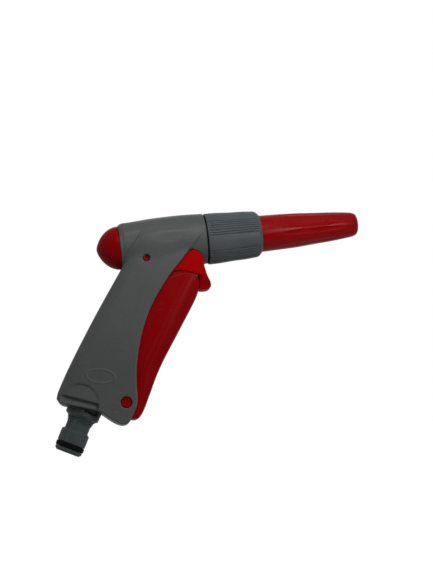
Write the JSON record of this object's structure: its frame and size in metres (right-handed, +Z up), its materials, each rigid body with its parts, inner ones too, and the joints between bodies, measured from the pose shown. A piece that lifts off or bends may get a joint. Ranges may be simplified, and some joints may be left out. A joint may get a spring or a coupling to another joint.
{
  "type": "hose nozzle",
  "caption": "Pistol-grip garden hose nozzle: front trigger, hold-open latch, sprung valve in a round barrel, ribbed collar that feeds the tapered red nozzle, push-fit hose plug.",
  "frame": {"origin": "middle of the hose plug's land, on the plug's axis", "axes": "+X along the barrel, the way the spray leaves; +Z up, from the grip to the barrel; Y = 0 is the plane of symmetry"},
  "size_m": [0.1869, 0.0306, 0.1294],
  "materials": {
    "body_grey": "satin moulded, slightly worn",
    "collar_grey": "satin moulded",
    "plug_grey": "satin moulded",
    "red_plastic": "semi-gloss moulded",
    "bright_red_plastic": "semi-gloss moulded",
    "white_plastic": "natural moulded",
    "black_rubber": "smooth",
    "brass": "turned",
    "steel": "bright"
  },
  "bodies": {
    "body": {"housing_right": "body_grey", "housing_left": "body_grey", "housing_screws": "steel", "rear_cap": "red_plastic", "rear_cap_o_ring": "black_rubber", "valve_body": "white_plastic", "valve_body_pins": "red_plastic", "valve_seat": "brass", "stem_o_ring": "black_rubber", "gland_bush": "brass", "valve_spring": "steel", "inlet_tube": "white_plastic", "inlet_tube_seal": "black_rubber", "hose_plug": "plug_grey", "plug_collar": "plug_grey", "plug_o_ring": "black_rubber", "trigger_pin": "red_plastic", "seam_washer": "black_rubber", "collar_clip": "steel", "nozzle_o_ring": "black_rubber", "spray_needle": "white_plastic"},
    "valve": {"valve_stem": "steel", "valve_poppet": "brass", "poppet_seal": "black_rubber", "stem_button": "brass"},
    "trigger": {"trigger": "red_plastic", "latch_pin": "steel"},
    "latch": {"latch": "bright_red_plastic"},
    "collar": {"collar": "collar_grey"},
    "nozzle": {"nozzle": "red_plastic"}
  },
  "joints": [
    {"name": "trigger_pull", "type": "hinge", "parent": "body", "child": "trigger", "pos_m": [0.0306, 0, 0.015], "axis": [0, -1, 0], "range_deg": [0, 5], "stiffness_Nm_per_rad": 0.6, "springref_deg": -5.73},
    {"name": "valve_slide", "type": "slide", "parent": "body", "child": "valve", "axis": [-1, 0, 0], "range_m": [0, 0.0078], "deforming": ["valve_spring"]},
    {"name": "latch_flip", "type": "hinge", "parent": "trigger", "child": "latch", "pos_m": [0.0767, 0, 0.0897], "axis": [0, -1, 0], "range_deg": [0, 10]},
    {"name": "collar_turn", "type": "hinge", "parent": "body", "child": "collar", "pos_m": [0.0861, 0, 0.1033], "axis": [1, 0, 0], "range_deg": [0, 360]},
    {"name": "nozzle_feed", "type": "slide", "parent": "body", "child": "nozzle", "axis": [1, 0, 0], "range_m": [0, 0.004]}
  ],
  "couplings": [
    {"joint": "valve_slide", "follows": "trigger_pull", "m_per_rad": 0.08829},
    {"joint": "collar_turn", "follows": "nozzle_feed", "rad_per_m": 1570.8}
  ]
}
